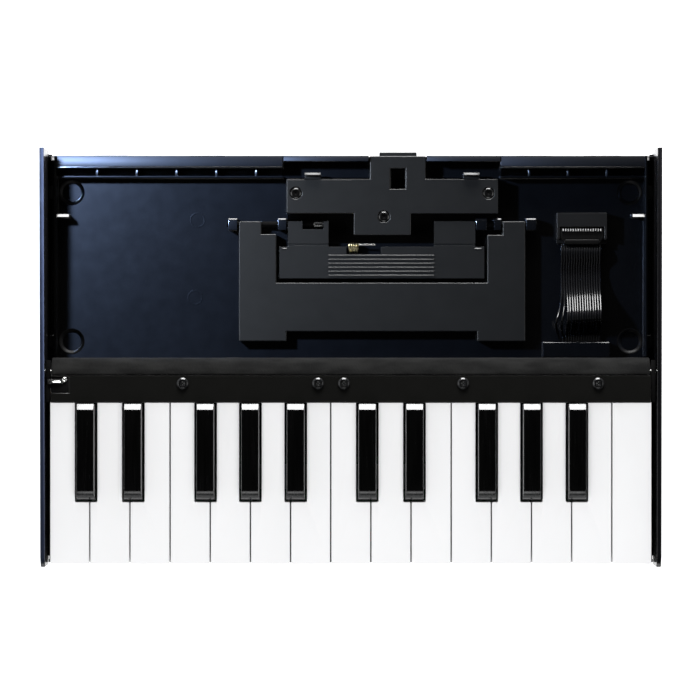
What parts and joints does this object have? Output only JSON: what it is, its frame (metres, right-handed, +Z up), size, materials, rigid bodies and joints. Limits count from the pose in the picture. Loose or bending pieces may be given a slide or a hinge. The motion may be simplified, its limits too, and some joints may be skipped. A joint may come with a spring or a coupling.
{
  "type": "synthesizer keyboard dock",
  "caption": "Slim black keyboard dock for a desktop synthesizer module: piano-style keys, an open tray with latch bracket, fold-up tilt legs and a ribbon cable, between metal side panels.",
  "frame": {"origin": "under the middle of the object, on the plane that its feet stand on", "axes": "+X right and +Y to the rear as the player sees it, +Z up"},
  "size_m": [0.309, 0.2086, 0.032],
  "materials": {
    "case_plastic": "satin, fine moulded texture",
    "panel_metal": "satin black paint",
    "cover_plastic": "smooth matte",
    "white_key": "gloss",
    "black_key": "high gloss",
    "cloth": "fine woven",
    "stand_plastic": "satin",
    "bright_steel": "bright",
    "black_screw": "blackened steel",
    "brass": "bright",
    "chassis_plastic": "matte",
    "circuit_board": "solder mask",
    "rubber": "matte",
    "dome_rubber": "matte",
    "felt": "felt",
    "ribbon": "smooth insulation",
    "plug_plastic": "moulded"
  },
  "bodies": {
    "base": {"bottom_case": "case_plastic", "side_panel_left": "panel_metal", "side_panel_right": "panel_metal", "key_chassis": "chassis_plastic", "key_pivot_rod": "bright_steel", "key_rear_cover": "cover_plastic", "cloth_strip": "cloth", "contact_board": "circuit_board", "contact_rubber": "dome_rubber", "key_stop_felt": "felt", "main_board": "circuit_board", "ribbon_cable": "ribbon", "ribbon_plug": "plug_plastic", "ribbon_holder": "plug_plastic", "module_bracket": "stand_plastic", "latch_spring": "bright_steel", "stand_pin_left": "bright_steel", "stand_pin_right": "bright_steel", "side_clip": "bright_steel", "cover_screw_1": "black_screw", "cover_screw_2": "black_screw", "cover_screw_3": "black_screw", "cover_screw_4": "black_screw", "cover_screw_5": "black_screw", "bracket_screw_left": "black_screw", "bracket_screw_middle": "black_screw", "bracket_screw_right": "black_screw", "foot_front_left": "rubber", "foot_front_right": "rubber", "foot_rear_left": "rubber", "foot_rear_right": "rubber"},
    "stand_outer": {"stand_outer": "stand_plastic"},
    "stand_inner": {"stand_inner": "stand_plastic", "stand_spring": "brass"},
    "module_latch": {"module_latch": "stand_plastic"},
    "key_c1": {"key_c1": "white_key"},
    "key_c1_sharp": {"key_c1_sharp": "black_key"},
    "key_d1": {"key_d1": "white_key"},
    "key_d1_sharp": {"key_d1_sharp": "black_key"},
    "key_e1": {"key_e1": "white_key"},
    "key_f1": {"key_f1": "white_key"},
    "key_f1_sharp": {"key_f1_sharp": "black_key"},
    "key_g1": {"key_g1": "white_key"},
    "key_g1_sharp": {"key_g1_sharp": "black_key"},
    "key_a1": {"key_a1": "white_key"},
    "key_a1_sharp": {"key_a1_sharp": "black_key"},
    "key_b1": {"key_b1": "white_key"},
    "key_c2": {"key_c2": "white_key"},
    "key_c2_sharp": {"key_c2_sharp": "black_key"},
    "key_d2": {"key_d2": "white_key"},
    "key_d2_sharp": {"key_d2_sharp": "black_key"},
    "key_e2": {"key_e2": "white_key"},
    "key_f2": {"key_f2": "white_key"},
    "key_f2_sharp": {"key_f2_sharp": "black_key"},
    "key_g2": {"key_g2": "white_key"},
    "key_g2_sharp": {"key_g2_sharp": "black_key"},
    "key_a2": {"key_a2": "white_key"},
    "key_a2_sharp": {"key_a2_sharp": "black_key"},
    "key_b2": {"key_b2": "white_key"},
    "key_c3": {"key_c3": "white_key"}
  },
  "joints": [
    {"name": "stand_outer_fold", "type": "hinge", "parent": "base", "child": "stand_outer", "pos_m": [0.0157, 0.067, 0.008], "axis": [-1, 0, 0], "range_deg": [0, 80]},
    {"name": "stand_inner_fold", "type": "hinge", "parent": "base", "child": "stand_inner", "pos_m": [0.0157, 0.067, 0.008], "axis": [-1, 0, 0], "range_deg": [0, 80]},
    {"name": "latch_slide", "type": "slide", "parent": "base", "child": "module_latch", "axis": [0, -1, 0], "range_m": [0, 0.002], "stiffness_N_per_m": 400, "springref_m": -0.002},
    {"name": "press_c1", "type": "hinge", "parent": "base", "child": "key_c1", "pos_m": [-0.14, -0.007, 0.0175], "axis": [1, 0, 0], "range_deg": [0, 2.6], "stiffness_Nm_per_rad": 0.25, "springref_deg": -11.46},
    {"name": "press_c1_sharp", "type": "hinge", "parent": "base", "child": "key_c1_sharp", "pos_m": [-0.1318, -0.007, 0.0175], "axis": [1, 0, 0], "range_deg": [0, 2.6], "stiffness_Nm_per_rad": 0.25, "springref_deg": -11.46},
    {"name": "press_d1", "type": "hinge", "parent": "base", "child": "key_d1", "pos_m": [-0.12, -0.007, 0.0175], "axis": [1, 0, 0], "range_deg": [0, 2.6], "stiffness_Nm_per_rad": 0.25, "springref_deg": -11.46},
    {"name": "press_d1_sharp", "type": "hinge", "parent": "base", "child": "key_d1_sharp", "pos_m": [-0.1083, -0.007, 0.0175], "axis": [1, 0, 0], "range_deg": [0, 2.6], "stiffness_Nm_per_rad": 0.25, "springref_deg": -11.46},
    {"name": "press_e1", "type": "hinge", "parent": "base", "child": "key_e1", "pos_m": [-0.1, -0.007, 0.0175], "axis": [1, 0, 0], "range_deg": [0, 2.6], "stiffness_Nm_per_rad": 0.25, "springref_deg": -11.46},
    {"name": "press_f1", "type": "hinge", "parent": "base", "child": "key_f1", "pos_m": [-0.08, -0.007, 0.0175], "axis": [1, 0, 0], "range_deg": [0, 2.6], "stiffness_Nm_per_rad": 0.25, "springref_deg": -11.46},
    {"name": "press_f1_sharp", "type": "hinge", "parent": "base", "child": "key_f1_sharp", "pos_m": [-0.0723, -0.007, 0.0175], "axis": [1, 0, 0], "range_deg": [0, 2.6], "stiffness_Nm_per_rad": 0.25, "springref_deg": -11.46},
    {"name": "press_g1", "type": "hinge", "parent": "base", "child": "key_g1", "pos_m": [-0.06, -0.007, 0.0175], "axis": [1, 0, 0], "range_deg": [0, 2.6], "stiffness_Nm_per_rad": 0.25, "springref_deg": -11.46},
    {"name": "press_g1_sharp", "type": "hinge", "parent": "base", "child": "key_g1_sharp", "pos_m": [-0.05, -0.007, 0.0175], "axis": [1, 0, 0], "range_deg": [0, 2.6], "stiffness_Nm_per_rad": 0.25, "springref_deg": -11.46},
    {"name": "press_a1", "type": "hinge", "parent": "base", "child": "key_a1", "pos_m": [-0.04, -0.007, 0.0175], "axis": [1, 0, 0], "range_deg": [0, 2.6], "stiffness_Nm_per_rad": 0.25, "springref_deg": -11.46},
    {"name": "press_a1_sharp", "type": "hinge", "parent": "base", "child": "key_a1_sharp", "pos_m": [-0.0274, -0.007, 0.0175], "axis": [1, 0, 0], "range_deg": [0, 2.6], "stiffness_Nm_per_rad": 0.25, "springref_deg": -11.46},
    {"name": "press_b1", "type": "hinge", "parent": "base", "child": "key_b1", "pos_m": [-0.02, -0.007, 0.0175], "axis": [1, 0, 0], "range_deg": [0, 2.6], "stiffness_Nm_per_rad": 0.25, "springref_deg": -11.46},
    {"name": "press_c2", "type": "hinge", "parent": "base", "child": "key_c2", "pos_m": [0, -0.007, 0.0175], "axis": [1, 0, 0], "range_deg": [0, 2.6], "stiffness_Nm_per_rad": 0.25, "springref_deg": -11.46},
    {"name": "press_c2_sharp", "type": "hinge", "parent": "base", "child": "key_c2_sharp", "pos_m": [0.0082, -0.007, 0.0175], "axis": [1, 0, 0], "range_deg": [0, 2.6], "stiffness_Nm_per_rad": 0.25, "springref_deg": -11.46},
    {"name": "press_d2", "type": "hinge", "parent": "base", "child": "key_d2", "pos_m": [0.02, -0.007, 0.0175], "axis": [1, 0, 0], "range_deg": [0, 2.6], "stiffness_Nm_per_rad": 0.25, "springref_deg": -11.46},
    {"name": "press_d2_sharp", "type": "hinge", "parent": "base", "child": "key_d2_sharp", "pos_m": [0.0317, -0.007, 0.0175], "axis": [1, 0, 0], "range_deg": [0, 2.6], "stiffness_Nm_per_rad": 0.25, "springref_deg": -11.46},
    {"name": "press_e2", "type": "hinge", "parent": "base", "child": "key_e2", "pos_m": [0.04, -0.007, 0.0175], "axis": [1, 0, 0], "range_deg": [0, 2.6], "stiffness_Nm_per_rad": 0.25, "springref_deg": -11.46},
    {"name": "press_f2", "type": "hinge", "parent": "base", "child": "key_f2", "pos_m": [0.06, -0.007, 0.0175], "axis": [1, 0, 0], "range_deg": [0, 2.6], "stiffness_Nm_per_rad": 0.25, "springref_deg": -11.46},
    {"name": "press_f2_sharp", "type": "hinge", "parent": "base", "child": "key_f2_sharp", "pos_m": [0.0677, -0.007, 0.0175], "axis": [1, 0, 0], "range_deg": [0, 2.6], "stiffness_Nm_per_rad": 0.25, "springref_deg": -11.46},
    {"name": "press_g2", "type": "hinge", "parent": "base", "child": "key_g2", "pos_m": [0.08, -0.007, 0.0175], "axis": [1, 0, 0], "range_deg": [0, 2.6], "stiffness_Nm_per_rad": 0.25, "springref_deg": -11.46},
    {"name": "press_g2_sharp", "type": "hinge", "parent": "base", "child": "key_g2_sharp", "pos_m": [0.09, -0.007, 0.0175], "axis": [1, 0, 0], "range_deg": [0, 2.6], "stiffness_Nm_per_rad": 0.25, "springref_deg": -11.46},
    {"name": "press_a2", "type": "hinge", "parent": "base", "child": "key_a2", "pos_m": [0.1, -0.007, 0.0175], "axis": [1, 0, 0], "range_deg": [0, 2.6], "stiffness_Nm_per_rad": 0.25, "springref_deg": -11.46},
    {"name": "press_a2_sharp", "type": "hinge", "parent": "base", "child": "key_a2_sharp", "pos_m": [0.1126, -0.007, 0.0175], "axis": [1, 0, 0], "range_deg": [0, 2.6], "stiffness_Nm_per_rad": 0.25, "springref_deg": -11.46},
    {"name": "press_b2", "type": "hinge", "parent": "base", "child": "key_b2", "pos_m": [0.12, -0.007, 0.0175], "axis": [1, 0, 0], "range_deg": [0, 2.6], "stiffness_Nm_per_rad": 0.25, "springref_deg": -11.46},
    {"name": "press_c3", "type": "hinge", "parent": "base", "child": "key_c3", "pos_m": [0.14, -0.007, 0.0175], "axis": [1, 0, 0], "range_deg": [0, 2.6], "stiffness_Nm_per_rad": 0.25, "springref_deg": -11.46}
  ]
}
